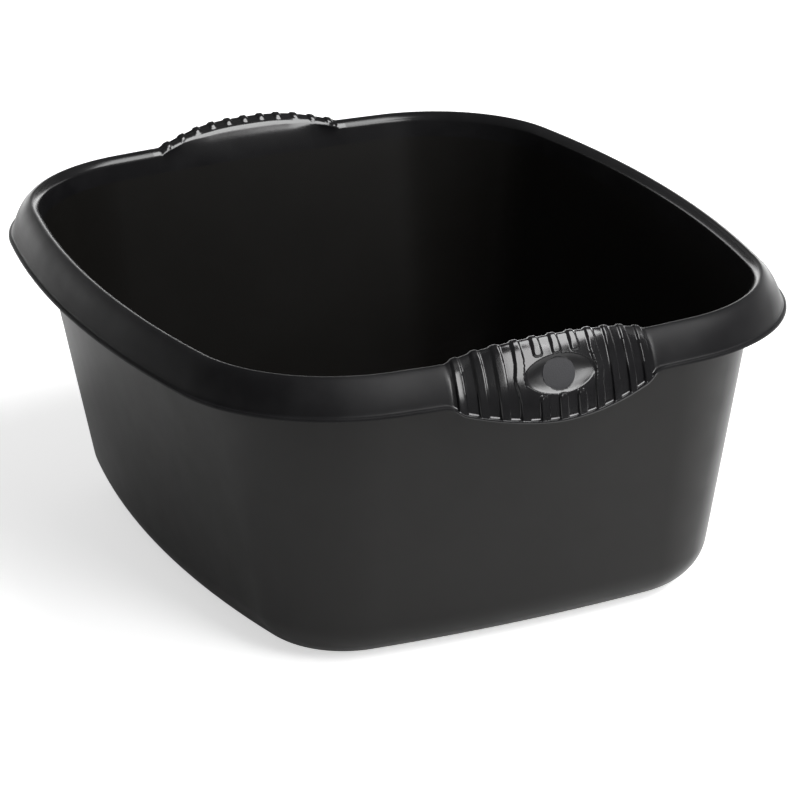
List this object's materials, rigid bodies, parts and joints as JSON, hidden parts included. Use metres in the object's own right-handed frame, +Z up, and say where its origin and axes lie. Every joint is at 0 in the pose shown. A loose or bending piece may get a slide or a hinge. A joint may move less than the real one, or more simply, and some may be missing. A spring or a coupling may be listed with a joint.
{
  "type": "washing up bowl",
  "caption": "Rectangular washing up bowl with bowed sides, rounded corners, a rolled rim and ribbed grips moulded into both short sides.",
  "frame": {"origin": "centre of the bowl's plan, on the table under its foot ring", "axes": "+X across the bowl, +Y along it through both grips, +Z up"},
  "size_m": [0.3266, 0.393, 0.164],
  "materials": {
    "shell": "semi-matt moulded polypropylene, anthracite",
    "grip": "the same polypropylene, polished in the mould",
    "roundel": "fine spark-eroded texture"
  },
  "bodies": {
    "root": {"tub_wall": "shell", "base_panel": "shell", "foot_ring": "shell", "left_rim": "shell", "right_rim": "shell", "front_grip": "grip", "rear_grip": "grip", "front_roundel": "roundel", "rear_roundel": "roundel"}
  },
  "joints": []
}
